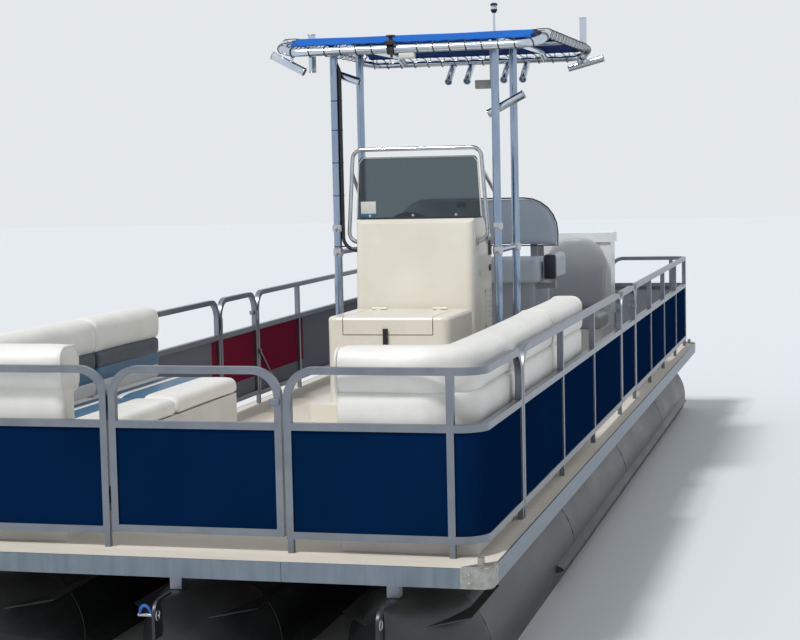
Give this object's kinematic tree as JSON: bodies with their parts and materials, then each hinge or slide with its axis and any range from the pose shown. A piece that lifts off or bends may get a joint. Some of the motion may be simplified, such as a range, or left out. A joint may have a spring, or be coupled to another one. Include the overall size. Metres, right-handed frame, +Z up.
{
  "type": "pontoon boat",
  "caption": "Tritoon pontoon boat with fenced deck, gates, couches, a centre console under a canvas T-top, helm bench and tilted outboard.",
  "frame": {"origin": "centre of the bounding box on the floor under the keels", "axes": "+Z up, bow towards -Y, port side towards +X"},
  "size_m": [2.59, 10.6438, 3.395],
  "materials": {
    "tube_aluminium": "satin, weathered",
    "frame_aluminium": "satin anodised",
    "pipe_aluminium": "polished",
    "deck_vinyl": "woven matte",
    "navy_panel": "gloss",
    "fibreglass": "gloss gelcoat",
    "cream_vinyl": "soft satin",
    "grey_vinyl": "soft satin",
    "navy_vinyl": "soft satin",
    "moulded_base": "matte",
    "smoked_screen": "gloss",
    "stainless": "polished",
    "black_plastic": "matte",
    "canvas": "woven matte",
    "outboard_paint": "gloss",
    "cast_aluminium": "cast"
  },
  "bodies": {
    "hull": {"pontoon_port": "tube_aluminium", "pontoon_centre": "tube_aluminium", "pontoon_starboard": "tube_aluminium", "cross_members": "frame_aluminium", "deck": "deck_vinyl", "deck_trim": "frame_aluminium", "corner_caps": "cast_aluminium", "fence_rails": "frame_aluminium", "fence_posts": "frame_aluminium", "fence_corner_bends": "frame_aluminium", "fence_panels": "navy_panel", "couch_port_back": "cream_vinyl", "couch_port_seat": "cream_vinyl", "couch_port_base": "moulded_base", "couch_starboard_back": "cream_vinyl", "couch_starboard_seat": "cream_vinyl", "couch_starboard_base": "moulded_base", "couch_starboard_chaise_back": "cream_vinyl", "console": "fibreglass", "console_seat_box": "fibreglass", "windshield": "smoked_screen", "windshield_rail": "stainless", "ttop_frame": "pipe_aluminium", "ttop_legs": "pipe_aluminium", "ttop_canvas": "canvas", "rod_holders": "pipe_aluminium", "anchor_light": "pipe_aluminium", "floodlight": "black_plastic", "helm_bench_base": "fibreglass", "helm_bench_seat": "grey_vinyl", "helm_bench_back": "grey_vinyl", "helm_bench_arms": "navy_vinyl", "stern_seat_boxes": "fibreglass", "stern_seat_cushions": "grey_vinyl", "stern_seat_backs": "grey_vinyl", "console_loom": "black_plastic", "fence_brace": "frame_aluminium", "transom_pod": "tube_aluminium", "outboard_clamp_bracket": "outboard_paint"},
    "bow_gate": {"bow_gate_frame": "frame_aluminium", "bow_gate_panel": "navy_panel"},
    "stern_gate": {"stern_gate_frame": "frame_aluminium", "stern_gate_panel": "navy_panel"},
    "port_gate": {"port_gate_frame": "frame_aluminium", "port_gate_panel": "navy_panel"},
    "starboard_gate": {"starboard_gate_frame": "frame_aluminium", "starboard_gate_panel": "navy_panel"},
    "seat_lid": {"console_seat_lid": "fibreglass", "seat_lid_latch": "black_plastic"},
    "helm_wheel": {"steering_wheel": "stainless"},
    "outboard_swivel": {"outboard_swivel_bracket": "outboard_paint"},
    "outboard_drive": {"outboard_engine": "outboard_paint", "outboard_leg": "outboard_paint"},
    "outboard_propeller": {"propeller": "cast_aluminium"}
  },
  "joints": [
    {"name": "bow_gate_swing", "type": "hinge", "parent": "hull", "child": "bow_gate", "pos_m": [-0.337, -4.895, 1.09], "axis": [0, 0, 1], "range_deg": [0, 90]},
    {"name": "stern_gate_swing", "type": "hinge", "parent": "hull", "child": "stern_gate", "pos_m": [0.57, 3.469, 1.09], "axis": [0, 0, 1], "range_deg": [0, 90]},
    {"name": "port_gate_swing", "type": "hinge", "parent": "hull", "child": "port_gate", "pos_m": [1.201, -0.797, 1.09], "axis": [0, 0, 1], "range_deg": [0, 90]},
    {"name": "starboard_gate_swing", "type": "hinge", "parent": "hull", "child": "starboard_gate", "pos_m": [-1.201, -1.252, 1.09], "axis": [0, 0, -1], "range_deg": [0, 90]},
    {"name": "seat_lid_open", "type": "hinge", "parent": "hull", "child": "seat_lid", "pos_m": [0, -1.204, 1.478], "axis": [-1, 0, 0], "range_deg": [0, 85]},
    {"name": "outboard_tilt", "type": "hinge", "parent": "hull", "child": "outboard_swivel", "pos_m": [0, 4.308, 0.79], "axis": [1, 0, 0], "range_deg": [-42, 20]},
    {"name": "outboard_steer", "type": "hinge", "parent": "outboard_swivel", "child": "outboard_drive", "pos_m": [0, 4.36, 0.8368], "axis": [0, -0.6691, 0.7431], "range_deg": [-30, 30]},
    {"name": "propeller_spin", "type": "hinge", "parent": "outboard_drive", "child": "outboard_propeller", "pos_m": [0, 5.2322, 0.4515], "axis": [0, 0.7431, 0.6691], "continuous": true},
    {"name": "helm_wheel_turn", "type": "hinge", "parent": "hull", "child": "helm_wheel", "pos_m": [-0.17, -0.472, 1.8562], "axis": [0, 0.866, 0.5], "range_deg": [-702, 702]}
  ],
  "couplings": [
    {"joint": "helm_wheel_turn", "follows": "outboard_steer", "ratio": -23.3}
  ]
}
